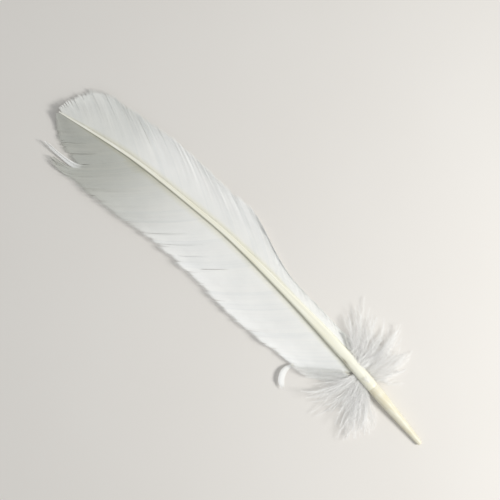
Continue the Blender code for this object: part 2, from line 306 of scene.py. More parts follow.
def tube_faces(count, stations, sides, base):
    """Faces of a batch of tubes whose points run tube, station, side. Ends are closed by flat faces."""
    tube = (np.arange(count) * stations * sides)[:, None, None] + base
    station = (np.arange(stations - 1) * sides)[None, :, None]
    side = np.arange(sides)[None, None, :]
    after = (side + 1) % sides
    a = tube + station + side
    b = tube + station + after
    quads = np.stack([a, b, b + sides, a + sides], axis=-1).reshape(-1, 4)
    first = tube[:, 0] + np.arange(sides)[None, ::-1]
    last = tube[:, 0] + (stations - 1) * sides + np.arange(sides)[None, :]
    return quads, np.concatenate([first, last])


class Batch:
    """Gathers closed strips and threads, with their attributes, for one piece."""

    def __init__(self):
        self.points, self.faces, self.shade, self.along, self.count = [], [], [], [], 0

    def add(self, points, shade, along):
        """points are (tube, station, side, xyz); shade is one number a tube, along one a station."""
        count, stations, sides, _ = points.shape
        quads, caps = tube_faces(count, stations, sides, self.count)
        self.points.append(points.reshape(-1, 3))
        self.faces += [quads, caps]
        shape = (count, stations, sides)
        self.shade.append(np.broadcast_to(shade[:, None, None], shape).ravel())
        self.along.append(np.broadcast_to(along[..., None], shape).ravel())
        self.count += count * stations * sides

    def build(self, name, material, nodes, slot, **more):
        attributes = {"shade": np.concatenate(self.shade), "along": np.concatenate(self.along)}
        points = np.concatenate(self.points)
        return add_piece(name, points, self.faces, material, nodes, slot, attributes, **more)


# Corners of a thread's section, as shares of its radius across and up: a round barb, a flat-topped barbule
ROUND = np.array([(1.0, 0.0), (0.0, -1.0), (-1.0, 0.0), (0.0, 1.0)])
RIBBON = np.array([(1.0, 0.0), (0.0, -0.5), (-1.0, 0.0)])


def threads(centre, radius, section):
    """Threads along centre lines (thread, station, xyz), as points (thread, station, corner, xyz)."""
    ahead = unit(np.gradient(centre, axis=1))
    across = unit(np.cross(ahead, ALMOST_UP))
    up = np.cross(across, ahead)
    ring = across[:, :, None] * section[:, :1] + up[:, :, None] * section[:, 1:]
    return centre[:, :, None] + ring * radius[:, :, None, None]


WING = 0.6  # a barb's wing, as a share of the spacing between barbs
WING_SLOPE = 0.03
WIDEST_WING = 1.25  # as a share of the usual spacing at that station


def strips(centre, across, ridge, wing):
    """Hooked barbs: a ridge along each centre line, with a thin wing on each side.

    centre and across are (barb, station, xyz), ridge the ridge's height and wing the wings' width there.
    """
    ahead = unit(np.gradient(centre, axis=1))
    across = across - ahead * np.sum(across * ahead, axis=-1, keepdims=True)
    reach = np.linalg.norm(across, axis=-1)
    reach = np.minimum(reach, WIDEST_WING * np.median(reach, axis=0)) * wing
    across = unit(across)
    across *= np.where(np.cross(across, ahead)[..., 2:] < 0, -1.0, 1.0)
    up = np.cross(across, ahead)
    half = 0.55 * ridge
    zero = np.zeros_like(ridge)
    # (sideways, up) of the eight corners
    corners = [
        (-reach, zero + WING_SLOPE), (-half, 0.25 * ridge), (-0.6 * half, ridge), (0.6 * half, ridge),
        (half, 0.25 * ridge), (reach, zero - WING_SLOPE), (0.7 * half, -ridge), (-0.7 * half, -ridge),
    ]
    return np.stack(
        [centre + across * s[..., None] + up * u[..., None] for s, u in corners], axis=2
    )


# The vane


class Vane:
    """One side of the vane: where its barbs are, with their partings, ripples and leaning clusters."""

    def __init__(self, barbs, side, rim, pitch, seed, splits, partings, lively=1.0):
        self.barbs, self.side, self.rim, self.pitch = barbs, side, rim, pitch
        self.rng = np.random.default_rng(seed)
        self.splits = splits
        low, high = splits[0], splits[-1]
        own = [(root, *SPLIT_PARTING) for root in splits[1:-1]] + list(partings)
        # Random ones in pairs: one that reaches well into the web, and a short one in the rim beside it
        root = low + 3
        while root < high - 2:
            root += self.rng.uniform(2.5, 9.0)
            own.append((root, self.rng.exponential(0.18), self.rng.uniform(0.68, 0.92), 4.0))
            own.append((root + 1.7, self.rng.exponential(0.35), self.rng.uniform(0.84, 0.95), 0.9))
        self.partings = sorted(p for p in own if low < p[0] < high)
        edges = [low - 1] + [p[0] for p in self.partings] + [high + 1]
        self.edges = np.array(edges)
        self.tilt = self.rng.normal(0, 0.07 * lively, len(edges))
        self.lift = np.abs(self.rng.normal(0, 0.09 * lively, len(edges)))
        self.longer = self.rng.normal(0, 0.014, len(edges))
        self.phase = self.rng.uniform(0, math.tau, 6)

    def warp(self, a, f):
        """The roots, moved so that the barbs beside a parting lean away from it."""
        moved = np.zeros(np.broadcast_shapes(a.shape, f.shape))
        for root, opening, start, reach in self.partings:
            side = np.where(a < root, -1.0, 1.0)
            moved += side * opening / 2 * ease(start, 1, f) * np.exp(-np.abs(a - root) / reach)
        return a + moved

    def points(self, a, f):
        """Centre points of the barbs with these roots at these shares of their length."""
        warped = self.warp(a, f)
        point = barb_surface(self.barbs, warped, f, self.rim, self.side)
        k = np.clip(np.searchsorted(self.edges, a) - 1, 0, len(self.edges) - 2)
        middle = (self.edges[k] + self.edges[k + 1]) / 2
        width = self.edges[k + 1] - self.edges[k]
        leaning = self.lift[k] + self.tilt[k] * 2 * (a - middle) / np.maximum(width, 1)
        ripple = sum(
            size * np.sin(a / spacing + slant * f + phase)
            for (size, spacing, slant), phase in zip(RIPPLES, self.phase)
        )
        point[..., 2] += leaning * ease(0.3, 0.9, f) + (ripple + 0.3) * ease(0.08, 0.6, f)
        return point

    def fluff(self, batch, root, count):
        """Soft barbs along the vane's base edge, with loose barbules, spread towards the barrel."""
        f = np.linspace(0.1, 1, 26)
        a = root + np.sort(self.rng.uniform(-3.0, 0.8, count))
        centre = self.points(np.maximum(a, root)[:, None], f * self.rng.uniform(0.8, 1.03, (count, 1)))
        phase = self.rng.uniform(0, math.tau, (count, 1))
        spread = 1 - (1 - f) ** 2
        wave = 1.1 * f**2 * np.sin(8 * f + phase)
        centre[..., 1] += np.minimum(a - root, 0)[:, None] * 2.8 * spread + wave
        centre[..., 2] += 1.1 + 0.6 * np.sin(7 * f + phase)
        radius = mix(0.06, 0.02, f) * np.ones((count, 1))
        down_barbs(batch, self.rng, centre, radius, self.rng.uniform(0.5, 1, count), 0.26, 2.2)

    def web(self, name, low, high, node, material, fringe=0.9):
        """The barbs between two splits. Past the share fringe of their length they come unhooked."""
        count = int(round((high - low) / self.pitch))
        a = low + (np.arange(count) + 0.5) * (high - low) / count
        a += self.rng.normal(0, 0.05 * self.pitch, count)
        f = np.linspace(0, 1, STATIONS) ** 0.92
        k = np.clip(np.searchsorted(self.edges, a) - 1, 0, len(self.edges) - 2)
        reach = 1 + self.longer[k] + self.rng.normal(0, 0.004, count)
        reach -= np.abs(self.rng.normal(0, 0.006, count))
        shares = f[None, :] * reach[:, None]
        centre = self.points(a[:, None], shares)
        step = 0.02
        across = self.points(a[:, None] + step, shares) - self.points(a[:, None] - step, shares)
        flat = barb_surface(self.barbs, a[:, None] + step, shares, self.rim, self.side)
        flat -= barb_surface(self.barbs, a[:, None] - step, shares, self.rim, self.side)
        # A cluster's edge makes a jump here, and there the plain vane gives the spacing
        broken = np.linalg.norm(across, axis=-1) > 4 * np.linalg.norm(flat, axis=-1)
        across = np.where(broken[..., None], flat, across)
        across *= self.pitch / (2 * step)
        jitter = self.rng.normal(0, 0.02, count)[:, None] * ease(0.1, 0.4, shares)
        centre[..., 2] += jitter
        centre[..., 2] = np.maximum(centre[..., 2], LOWEST_BARB)
        ridge = mix(0.1, 0.045, f)[None, :] * self.rng.uniform(0.85, 1.15, count)[:, None]
        ridge = ridge * mix(1.0, 0.35, ease(0.93, 1.0, f))
        wing = WING * mix(1.0, 0.12, ease(fringe, 1.0, f))[None, :] * np.ones((count, 1))
        wing *= mix(0.55, 1.0, ease(0.0, 0.05, f))
        batch = Batch()
        # Half of a barb's shade is its own, and half is its cluster's
        shade = self.rng.uniform(0, 1, count) * 0.5 + 0.5 * np.sin(k * 12.9898) % 1.0
        batch.add(strips(centre, across, ridge, wing), shade, np.broadcast_to(f, (count, STATIONS)))
        if low == self.splits[0] and low < BASE_END:
            self.fluff(batch, low, FLUFF_BARBS)
        return batch.build(name, material, [node], "vane_barbs", sharp=BARB_SHARP)


def add_webs(side, first, half, material, **more):
    """Every web of one Vane, numbered from first."""
    for number, (low, high) in enumerate(zip(half.splits, half.splits[1:]), first):
        node = f"{side}_vane_web_{number:02d}"
        half.web(node + "_barbs", low, high, node, material, **more)


# Soft down


def down_barbs(batch, rng, centre, radius, shade, pitch, length):
    """Threads with a row of fine barbules along each side. centre is (barb, station, xyz)."""
    count, stations, _ = centre.shape
    along = np.broadcast_to(np.linspace(0, 1, stations), (count, stations))
    batch.add(threads(centre, radius, ROUND), shade, along)
    ahead = unit(np.gradient(centre, axis=1))
    total = np.linalg.norm(np.diff(centre, axis=1), axis=-1).sum(axis=1)
    roll = rng.normal(0, 0.5, count)
    starts, tips, outs, shades, shares = [], [], [], [], []
    for side in (-1.0, 1.0):
        for i in range(count):
            number = max(6, int(total[i] / pitch))
            s = np.linspace(0.04, 0.99, number) + rng.normal(0, 0.3 / number, number)
            s = np.clip(s, 0.02, 0.995)
            at = s * (stations - 1)
            j = np.clip(at.astype(int), 0, stations - 2)
            t = (at - j)[:, None]
            tip = ahead[i, j]
            flat = unit(np.cross(tip, ALMOST_UP))
            above = np.cross(flat, tip)
            turn = roll[i] + 0.9 * np.sin(5 * s + 7 * roll[i])
            starts.append(centre[i, j] * (1 - t) + centre[i, j + 1] * t)
            tips.append(tip)
            outs.append((flat * np.cos(turn)[:, None] + above * np.sin(turn)[:, None]) * side)
            shades.append(np.full(number, shade[i]))
            shares.append(s)
    start, tip, out = np.concatenate(starts), np.concatenate(tips), np.concatenate(outs)
    s = np.concatenate(shares)
    number = len(start)
    lean = np.radians(BARBULE_SPREAD * mix(1.0, 0.6, s) + rng.normal(0, 8, number))[:, None]
    heading = unit(tip * np.cos(lean) + out * np.sin(lean) + rng.normal(0, 0.14, (number, 3)))
    size = length * mix(0.7, 1.0, ease(0, 0.2, s)) * mix(1.0, 0.5, ease(0.6, 1, s))
    size = (size * rng.uniform(0.7, 1.2, number))[:, None]
    bend = tip * rng.uniform(0.1, 0.7, (number, 1)) + rng.normal(0, 0.22, (number, 3))
    line = np.stack([start + heading * size * g + bend * size * g * g for g in BARBULE_STEPS], axis=1)
    line[..., 2] = np.maximum(line[..., 2], LOWEST_BARBULE)
    thick = rng.uniform(0.8, 1.2, (number, 1)) * BARBULE_RADII
    shares = np.broadcast_to(BARBULE_STEPS, (number, len(BARBULE_STEPS)))
    batch.add(threads(line, thick, RIBBON), np.concatenate(shades), shares)


def wavy(rng, start, end, knee, stations, wave):
    """Soft curved lines from start to end (barb, xyz), pulled to knee and gently waving."""
    g = np.linspace(0, 1, stations)[None, :, None]
    line = start[:, None] * (1 - g) ** 2 + knee[:, None] * (2 * g * (1 - g)) + end[:, None] * g**2
    count = len(start)
    side = unit(np.cross(unit(end - start), ALMOST_UP))[:, None]
    phase = rng.uniform(0, math.tau, (2, count, 1, 1))
    speed = rng.uniform(2.5, 6.0, (count, 1, 1))
    grow = wave * (g**1.4)
    line = line + side * grow * (np.sin(g * speed + phase[0]) - np.sin(phase[0]) * (1 - g))
    return line + np.array([0, 0, 0.4]) * grow * np.sin(g * speed * 1.3 + phase[1])


def down_tuft(name, barbs, side, k, seed, material, node):
    """Tuft number k of one side's down: a few locks of soft barbs that fan out from the shaft."""
    rng = np.random.default_rng(seed)
    low, high = barbs[0][0], barbs[-1][0]
    pitch = (high - low) / DOWN_TUFTS
    count = DOWN_LOCKS * LOCK_BARBS
    lock_aim = np.arange(DOWN_LOCKS) + rng.uniform(0.1, 0.9, DOWN_LOCKS)
    lock_aim = low + pitch * (k + lock_aim / DOWN_LOCKS)
    lock_reach = rng.uniform(0.55, 1.04, DOWN_LOCKS)
    lock_height = rng.uniform(0.6, 7.0, DOWN_LOCKS)
    which = np.repeat(np.arange(DOWN_LOCKS), LOCK_BARBS)
    root_y = low + pitch * (k + rng.uniform(0.0, 1.0, count))
    aim = np.clip(lock_aim[which] + rng.normal(0, 0.22 * pitch, count), low, high)
    ends = smooth(barbs, aim)
    tangent = shaft_tangent(root_y)
    out = xyz(tangent[:, 1], -tangent[:, 0], 0.0) * side
    width = smooth(SHAFT_SECTION, root_y)[:, 0]
    start = xyz(smooth(SHAFT_LINE, root_y), root_y, 0.0) + out * (0.45 * width)[:, None]
    start[:, 2] = underside(root_y) + rng.uniform(2.0, 4.4, count)
    end = xyz(ends[:, 1], ends[:, 0], 0.0)
    end = start + (end - start) * (lock_reach[which] * rng.uniform(0.88, 1.06, count))[:, None]
    end[:, :2] += rng.normal(0, 1.8, (count, 2))
    end[:, 2] = lock_height[which] * rng.uniform(0.7, 1.2, count)
    length = np.linalg.norm(end - start, axis=1)[:, None]
    knee = (start + end) / 2 + unit(out - tangent) * 0.1 * length
    knee[:, 2] = rng.uniform(3.0, 7.0, count)
    line = wavy(rng, start, end, knee, DOWN_STATIONS, 2.0)
    line[..., 2] = np.clip(line[..., 2], *DOWN_HEIGHTS)
    f = np.linspace(0, 1, DOWN_STATIONS)
    radius = mix(0.055, 0.012, f)[None, :] * rng.uniform(0.8, 1.2, count)[:, None]
    batch = Batch()
    down_barbs(batch, rng, line, radius, rng.uniform(0, 1, count), 0.42, 2.8)
    return batch.build(name, material, [node], "down_barbs")


def add_down(name, barbs, side, seed, material):
    """Every tuft of one side's down."""
    for k in range(DOWN_TUFTS):
        node = f"{name}_down_{k + 1:02d}"
        down_tuft(node + "_barbs", barbs, side, k, seed + k, material, node)


def curled_strip(material):
    """The strip of barbs that hangs in a curl from the base corner of the wide vane."""
    rng = np.random.default_rng(203)
    count = 9
    place = np.linspace(-0.5, 0.5, count)
    g = np.linspace(0, 1, 32)[None, :] * rng.uniform(0.86, 1.0, (count, 1))
    spine = smooth(CURL_ROUTE, g)
    ahead = unit(np.gradient(spine, axis=1))
    across = unit(np.cross(ahead, [0, 0, 1.0]))
    across[..., 2] += 0.35
    width = mix(1.6, 3.4, ease(0.0, 0.5, g)) * mix(1.0, 0.55, ease(0.7, 1.0, g))
    centre = spine + across * (place[:, None] * width)[..., None]
    centre[..., 2] += 0.5 * np.cos(place[:, None] * math.pi)
    ridge = mix(0.09, 0.03, g) * rng.uniform(0.8, 1.2, (count, 1))
    wing = WING * mix(1.0, 0.2, ease(0.75, 1.0, g))
    batch = Batch()
    batch.add(strips(centre, across * (width / count)[..., None], ridge, wing), rng.uniform(0.5, 1, count), g)
    return batch.build(
        "curled_barb_strip_barbs", material, ["curled_barb_strip"], "vane_barbs", sharp=BARB_SHARP
    )


def umbilicus_tuft(material):
    """Fine barbs from the pit at the barrel's end, and wisps of down that lie over the shaft above it."""
    rng = np.random.default_rng(204)
    count = PIT_BARBS + WISPS
    wisp = np.arange(count) >= PIT_BARBS
    root_y = np.where(wisp, rng.uniform(60, 70, count), rng.uniform(47.5, 49.5, count))
    width, height = smooth(SHAFT_SECTION, root_y).T
    start = xyz(smooth(SHAFT_LINE, root_y), root_y, underside(root_y) + height)
    start[:, 0] += np.where(wisp, -0.5 * width, rng.uniform(-0.5, 0.5, count))
    start[:, 2] -= np.where(wisp, 0.4 * height, 0.12)
    end = start + xyz(
        np.where(wisp, rng.uniform(9, 15, count), rng.uniform(-1.5, 2.0, count)),
        np.where(wisp, rng.uniform(-6, 1, count), rng.uniform(4, 6, count)),
        np.where(wisp, rng.uniform(-2.5, 0.2, count), rng.uniform(0.4, 1.4, count)),
    )
    knee = (start + end) / 2
    knee[:, 2] = underside(root_y) + height + rng.uniform(0.9, 1.5, count)
    line = wavy(rng, start, end, knee, 20, 0.7)
    line[..., 2] = np.minimum(line[..., 2], 9.4)
    radius = mix(0.07, 0.02, np.linspace(0, 1, 20))[None, :] * np.ones((count, 1))
    batch = Batch()
    down_barbs(batch, rng, line, radius, rng.uniform(0, 1, count), 0.24, 1.7)
    return batch.build("umbilicus_tuft_barbs", material, ["superior_umbilicus_tuft"], "down_barbs")


def loose_lock(node, roots, tips, seed, material):
    """Barbs that leave the wide vane near its edge and bend together towards the quill's tip."""
    rng = np.random.default_rng(seed)
    count = int(round((roots[1] - roots[0]) / (0.8 * WIDE_PITCH)))
    place = np.linspace(0, 1, count)
    share = (mix(roots[0], roots[1], place) - LOOSE_STRETCH[0]) / (LOOSE_STRETCH[1] - LOOSE_STRETCH[0])

    def in_vane(f):
        point = mix(
            barb_surface(WIDE_BARBS, LOOSE_STRETCH[0], f, WIDE_RIM, -1),
            barb_surface(WIDE_TIP_BARBS, LOOSE_STRETCH[1], f, WIDE_TIP_RIM, -1), share[:, None],
        )
        point[:, 2] += 0.35 * ease(0.08, 0.6, f)
        return point

    ends = mix(np.array(tips[0]), np.array(tips[1]), place[:, None])
    ends += rng.normal(0, (0.35, 1.5, 0.4), (count, 3))
    knots = [in_vane(f) for f in (0.0, 0.33, 0.66, 0.92)] + [mix(in_vane(1.0), ends, 0.45), ends]
    knots = np.concatenate([np.array(LOOSE_SHARES)[:, None], np.reshape(knots, (len(knots), -1))], axis=1)
    g = np.linspace(0, 1, 36)[None, :] * rng.uniform(0.9, 1.0, (count, 1))
    every = smooth(knots, g).reshape(count, g.shape[1], count, 3)
    centre = every[np.arange(count), :, np.arange(count)]
    centre[..., 2] += rng.normal(0, 0.05, (count, 1)) * g
    across = np.gradient(centre, axis=0)
    ridge = mix(0.09, 0.03, g) * rng.uniform(0.8, 1.2, (count, 1))
    wing = WING * mix(1.0, 0.6, ease(0.85, 1.0, g)) * mix(0.55, 1.0, ease(0.0, 0.05, g))
    batch = Batch()
    batch.add(strips(centre, across, ridge, wing), rng.uniform(0, 1, count), g)
    return batch.build(node + "_barbs", material, [node], "vane_barbs", sharp=BARB_SHARP)


# The shaft and the barrel


def shaft_rings(y, angle, inset, roughness):
    """The shaft's sections at y, drawn in by inset: round at first, then squarer and grooved on top."""
    width, height = smooth(SHAFT_SECTION, y).T
    power = mix(1.0, 0.72, ease(48, 90, y))[:, None]
    groove = (0.06 * height * ease(58, 95, y) * (1 - ease(275, 299, y)))[:, None]
    side = np.sign(np.cos(angle)) * np.abs(np.cos(angle)) ** power
    up = np.sign(np.sin(angle)) * np.abs(np.sin(angle)) ** power
    drop = np.where(up > 0, groove * np.exp(-((side / 0.5) ** 2)), 0)
    tangent = shaft_tangent(y)
    across = xyz(tangent[:, 1], -tangent[:, 0], 0.0)
    inset = np.broadcast_to(inset, y.shape)
    centre = xyz(smooth(SHAFT_LINE, y), y, underside(y) + height / 2)
    sideways = side * roughness * (width / 2 - inset)[:, None]
    points = centre[:, None] + across[:, None] * sideways[..., None]
    points[..., 2] += up * roughness * (height / 2 - inset)[:, None] - drop
    return points


def add_shaft(material):
    """The shaft's shell with the pith's hollow inside. Its first rings plug into the barrel."""
    sides, stations = 56, 240
    angle = (-math.tau * np.arange(sides) / sides)[None, :]
    y = np.concatenate([[SHAFT_START, 45.2], np.linspace(45.6, SHAFT_END, stations)])
    plug = mix(0.25, 0.0, ease(45.1, 45.7, y))
    rng = np.random.default_rng(31)
    ridges = np.ones((len(y), sides))
    for number, size in ((9, 0.009), (17, 0.006), (26, 0.005)):
        phase = rng.uniform(0, math.tau)
        drift = np.sin(y / 23.0 + phase)[:, None]
        ridges += size * np.sin(number * angle + phase + 0.8 * drift) * ease(46, 60, y)[:, None]
    # A dent across the shaft's wide side; the same mask also colours the dent dark brown, which is painted
    # shade in it
    crease_dent_and_shade = np.exp(-(((y[:, None] - CREASE_Y) / 2.6) ** 2) - ((np.cos(angle) + 0.8) / 0.22) ** 2)
    crease_dent_and_shade = np.where(np.sin(angle) > 0, crease_dent_and_shade, 0) * (0.75 + 0.25 * np.sin(3.1 * y))[:, None]
    ridges -= 0.13 * crease_dent_and_shade
    outside = shaft_rings(y, angle, plug, ridges)
    outside[..., 2] = np.maximum(outside[..., 2], 0.0)
    inner_y = np.linspace(SHAFT_START, PITH_END, 90)
    inside = shaft_rings(inner_y, angle, mix(0.42, 0.28, ease(60, 200, inner_y)), 1.0)
    rings = np.concatenate([inside[::-1], outside])
    quads, caps = tube_faces(1, len(rings), sides, 0)
    along = np.concatenate([inner_y[::-1], y])
    along = np.broadcast_to(((along - 45) / 255)[:, None], rings.shape[:2])
    crease_dent_and_shade = np.concatenate([np.zeros((len(inner_y), sides)), crease_dent_and_shade])
    attributes = {"along": along, "crease_dent_and_shade": crease_dent_and_shade}
    return add_piece(
        "rachis_shell", rings.reshape(-1, 3), [quads, caps], material,
        ["rachis_cortex"], "shaft_horn", attributes, sharp=60,
    )


def add_barrel(material):
    """The barrel's wall, from the outside round the point's opening and up the inside."""
    sides, stations = 56, 120
    rng = np.random.default_rng(17)
    end = BARREL_LENGTH - 0.02
    along = np.linspace(0, 1, stations) ** 1.15 * end
    ahead, across, above = barrel_axes()
    angle = (-math.tau * np.arange(sides) / sides)[None, :]
    radius = smooth(BARREL_OUTLINE, along)
    rounding = np.sqrt(np.clip(1 - (1 - np.clip(along / 0.8, 0, 1)) ** 2, 0, 1))
    radius = radius * mix(0.62, 1.0, rounding)
    wobble = np.zeros((stations, sides))
    for number, size in ((2, 0.012), (5, 0.006), (13, 0.004), (21, 0.003)):
        phase = rng.uniform(0, math.tau)
        wobble += size * np.sin(number * angle + phase + 0.6 * np.sin(along / 9 + phase)[:, None])
    outside = radius[:, None] * (1 + wobble)
    inner_along = np.linspace(OPENING_DEPTH, end, 50)
    inner_radius = smooth(BARREL_OUTLINE, inner_along) - BARREL_WALL
    inner_radius[0] = OPENING_RADIUS
    mouth_along = np.array([0.0, 0.4, 0.8])
    inner_along = np.concatenate([mouth_along, inner_along])
    inner_radius = np.concatenate([np.full(len(mouth_along), OPENING_RADIUS), inner_radius])
    all_along = np.concatenate([inner_along[::-1], along])
    inside = np.broadcast_to(inner_radius[::-1, None], (len(inner_radius), sides))
    all_radius = np.concatenate([inside, outside])
    centre = ahead[None] * all_along[:, None] + np.array([0, 0, POINT_HEIGHT])
    points = centre[:, None] + across * (all_radius * np.cos(angle))[..., None]
    points += above * (all_radius * np.sin(angle))[..., None]
    quads, _ = tube_faces(1, len(points), sides, 0)
    side = np.arange(sides)
    last = (len(points) - 1) * sides
    rim = np.stack([last + side, last + (side + 1) % sides, (side + 1) % sides, side], axis=-1)
    share = np.broadcast_to((all_along / BARREL_LENGTH)[:, None], points.shape[:2])
    attributes = {"along": share, "shade": np.broadcast_to(np.sin(angle), points.shape[:2])}
    return add_piece(
        "barrel_wall", points.reshape(-1, 3), [quads, rim], material,
        ["calamus_barrel"], "barrel_horn", attributes, sharp=50,
    )


# Materials

# Painted shade on the barbs towards the quill's tip, for each side: the tone it reaches and the y where it
# begins, and the y where it is full
WIDE_TIP_PAINTED_SHADE = (0.62, 0.625, 0.585)
WIDE_PAINTED_SHADE_START = 178
NARROW_TIP_PAINTED_SHADE = (0.86, 0.865, 0.85)
NARROW_PAINTED_SHADE_START = 225
PAINTED_SHADE_END = 272


class Nodes:
    """Short helpers for one material's node tree."""

    def __init__(self, name):
        self.material = bpy.data.materials.new(name)
        self.material.use_nodes = True
        self.tree = self.material.node_tree
        self.shader = self.tree.nodes["Principled BSDF"]

    def add(self, kind, **settings):
        node = self.tree.nodes.new(kind)
        for key, value in settings.items():
            setattr(node, key, value)
        return node

    def link(self, a, b):
        self.tree.links.new(a, b)

    def plain(self, **values):
        for key, value in values.items():
            self.shader.inputs[key.replace("_", " ")].default_value = value

    def attribute(self, name):
        return self.add("ShaderNodeAttribute", attribute_name=name).outputs["Fac"]

    def mapped(self, scale=(1, 1, 1)):
        coordinates = self.add("ShaderNodeTexCoord").outputs["Object"]
        mapping = self.add("ShaderNodeMapping")
        mapping.inputs["Scale"].default_value = scale
        self.link(coordinates, mapping.inputs["Vector"])
        return mapping.outputs["Vector"]

    def noise(self, vector, scale, detail=3.0, roughness=0.5):
        noise = self.add("ShaderNodeTexNoise")
        noise.inputs["Scale"].default_value = scale
        noise.inputs["Detail"].default_value = detail
        noise.inputs["Roughness"].default_value = roughness
        self.link(vector, noise.inputs["Vector"])
        return noise.outputs["Fac"]

    def ramp(self, value, stops):
        """A colour that follows value through stops of (position, colour)."""
        ramp = self.add("ShaderNodeValToRGB").color_ramp
        node = self.tree.nodes[-1]
        while len(ramp.elements) < len(stops):
            ramp.elements.new(0.5)
        for element, (position, colour) in zip(ramp.elements, stops):
            element.position = position
            element.color = (*colour, 1)
        self.link(value, node.inputs["Fac"])
        return node.outputs["Color"]

    def blend(self, a, b, share, how="MIX"):
        """Each of a, b and share is a plain value or a socket."""
        node = self.add("ShaderNodeMix", data_type="RGBA", blend_type=how)
        for socket, value in ((node.inputs[6], a), (node.inputs[7], b), (node.inputs[0], share)):
            if isinstance(value, (int, float)):
                socket.default_value = value
            elif isinstance(value, tuple):
                socket.default_value = (*value, 1)
            else:
                self.link(value, socket)
        return node.outputs[2]

    def between(self, value, low, high):
        node = self.add("ShaderNodeMapRange")
        node.inputs["To Min"].default_value = low
        node.inputs["To Max"].default_value = high
        self.link(value, node.inputs["Value"])
        return node.outputs["Result"]

    def bump(self, height, strength, distance):
        node = self.add("ShaderNodeBump")
        node.inputs["Strength"].default_value = strength
        node.inputs["Distance"].default_value = distance
        self.link(height, node.inputs["Height"])
        self.link(node.outputs["Normal"], self.shader.inputs["Normal"])

    def colour(self, output):
        self.link(output, self.shader.inputs["Base Color"])

    def roughness(self, output):
        self.link(output, self.shader.inputs["Roughness"])


def vane_material(name, tip_shade, start, clear_from=None):
    """Hooked barbs. From y = start a painted shade greys them towards the quill's tip, down to the tip colour
    given. It stands in for shade: the light falling off towards the tip and, on the wide side, the vane
    sloping away from the light over its own shadow.

    Past the share clear_from of their length, if it is given, the painted shade fades out and they are white
    again.
    """
    n = Nodes(name)
    n.plain(Sheen_Weight=0.12, Sheen_Roughness=0.4, Specular_IOR_Level=0.35)
    shade = n.ramp(n.attribute("shade"), (
        (0.0, (0.90, 0.91, 0.905)), (0.5, (0.935, 0.94, 0.93)), (1.0, (0.96, 0.96, 0.945)),
    ))
    root = n.ramp(n.attribute("along"), (
        (0.0, (0.93, 0.91, 0.80)), (0.12, (1.0, 1.0, 0.99)), (1.0, (1.0, 1.0, 1.0)),
    ))
    patches = n.ramp(n.noise(n.mapped(), 60.0, 4.0), (
        (0.3, (0.95, 0.955, 0.96)), (0.7, (1.0, 1.0, 1.0)),
    ))
    split = n.add("ShaderNodeSeparateXYZ")
    n.link(n.mapped(), split.inputs["Vector"])
    shade_towards_tip = n.add("ShaderNodeMapRange", interpolation_type="SMOOTHSTEP")
    for socket, value in (("From Min", start), ("From Max", PAINTED_SHADE_END)):
        shade_towards_tip.inputs[socket].default_value = value * MM + SHIFT[1]
    n.link(split.outputs["Y"], shade_towards_tip.inputs["Value"])
    # Painted shade: white at y = start, greyed to the given tip colour by the quill's tip
    painted_shade = n.blend((1.0, 1.0, 1.0), tip_shade, shade_towards_tip.outputs["Result"])
    # The painted shade fades out over the outer share of the barbs, which stays white
    if clear_from:
        clear = min(clear_from + 0.12, 1.0)
        outer = n.ramp(n.attribute("along"), ((clear_from, (0, 0, 0)), (clear, (1, 1, 1))))
        painted_shade = n.blend(painted_shade, (1.0, 1.0, 1.0), outer)
    toned = n.blend(n.blend(shade, root, 1.0, "MULTIPLY"), patches, 1.0, "MULTIPLY")
    n.colour(n.blend(toned, painted_shade, 1.0, "MULTIPLY"))
    fine = n.noise(n.mapped(), 2600.0, 2.0)
    n.roughness(n.between(fine, 0.45, 0.7))
    n.bump(fine, 0.25, 0.00003)
    return n.material


def down_material():
    n = Nodes("down_keratin")
    n.plain(Sheen_Weight=0.5, Sheen_Roughness=0.3, Specular_IOR_Level=0.3)
    shade = n.ramp(n.attribute("shade"), (
        (0.0, (0.985, 0.984, 0.976)), (1.0, (0.998, 0.996, 0.984)),
    ))
    patches = n.ramp(n.noise(n.mapped(), 110.0, 3.0), (
        (0.3, (0.98, 0.98, 0.98)), (0.7, (1.0, 1.0, 1.0)),
    ))
    n.colour(n.blend(shade, patches, 1.0, "MULTIPLY"))
    n.roughness(n.between(n.noise(n.mapped(), 900.0), 0.6, 0.85))
    return n.material


def shaft_material():
    n = Nodes("shaft_keratin")
    n.plain(Coat_Weight=0.25, Coat_Roughness=0.3, Specular_IOR_Level=0.45)
    base = n.ramp(n.attribute("along"), (
        (0.0, (0.97, 0.955, 0.82)), (0.04, (0.99, 0.985, 0.88)), (0.1, (0.99, 0.985, 0.86)),
        (0.45, (0.99, 0.985, 0.87)), (1.0, (0.97, 0.97, 0.91)),
    ))
    streaks = n.noise(n.mapped((1100, 22, 1100)), 1.0, 4.0, 0.6)
    tint = n.ramp(streaks, ((0.3, (0.95, 0.94, 0.88)), (0.6, (1.0, 1.0, 1.0))))
    patch = n.ramp(n.noise(n.mapped(), 45.0), ((0.35, (0.97, 0.96, 0.92)), (0.65, (1, 1, 1))))
    clean = n.blend(n.blend(base, tint, 1.0, "MULTIPLY"), patch, 1.0, "MULTIPLY")
    # Painted shade: the dent is coloured dark brown where shade falls in it
    n.colour(n.blend(clean, (0.42, 0.36, 0.20), n.between(n.attribute("crease_dent_and_shade"), 0.0, 0.75)))
    n.roughness(n.between(streaks, 0.28, 0.5))
    n.bump(streaks, 0.3, 0.00005)
    return n.material


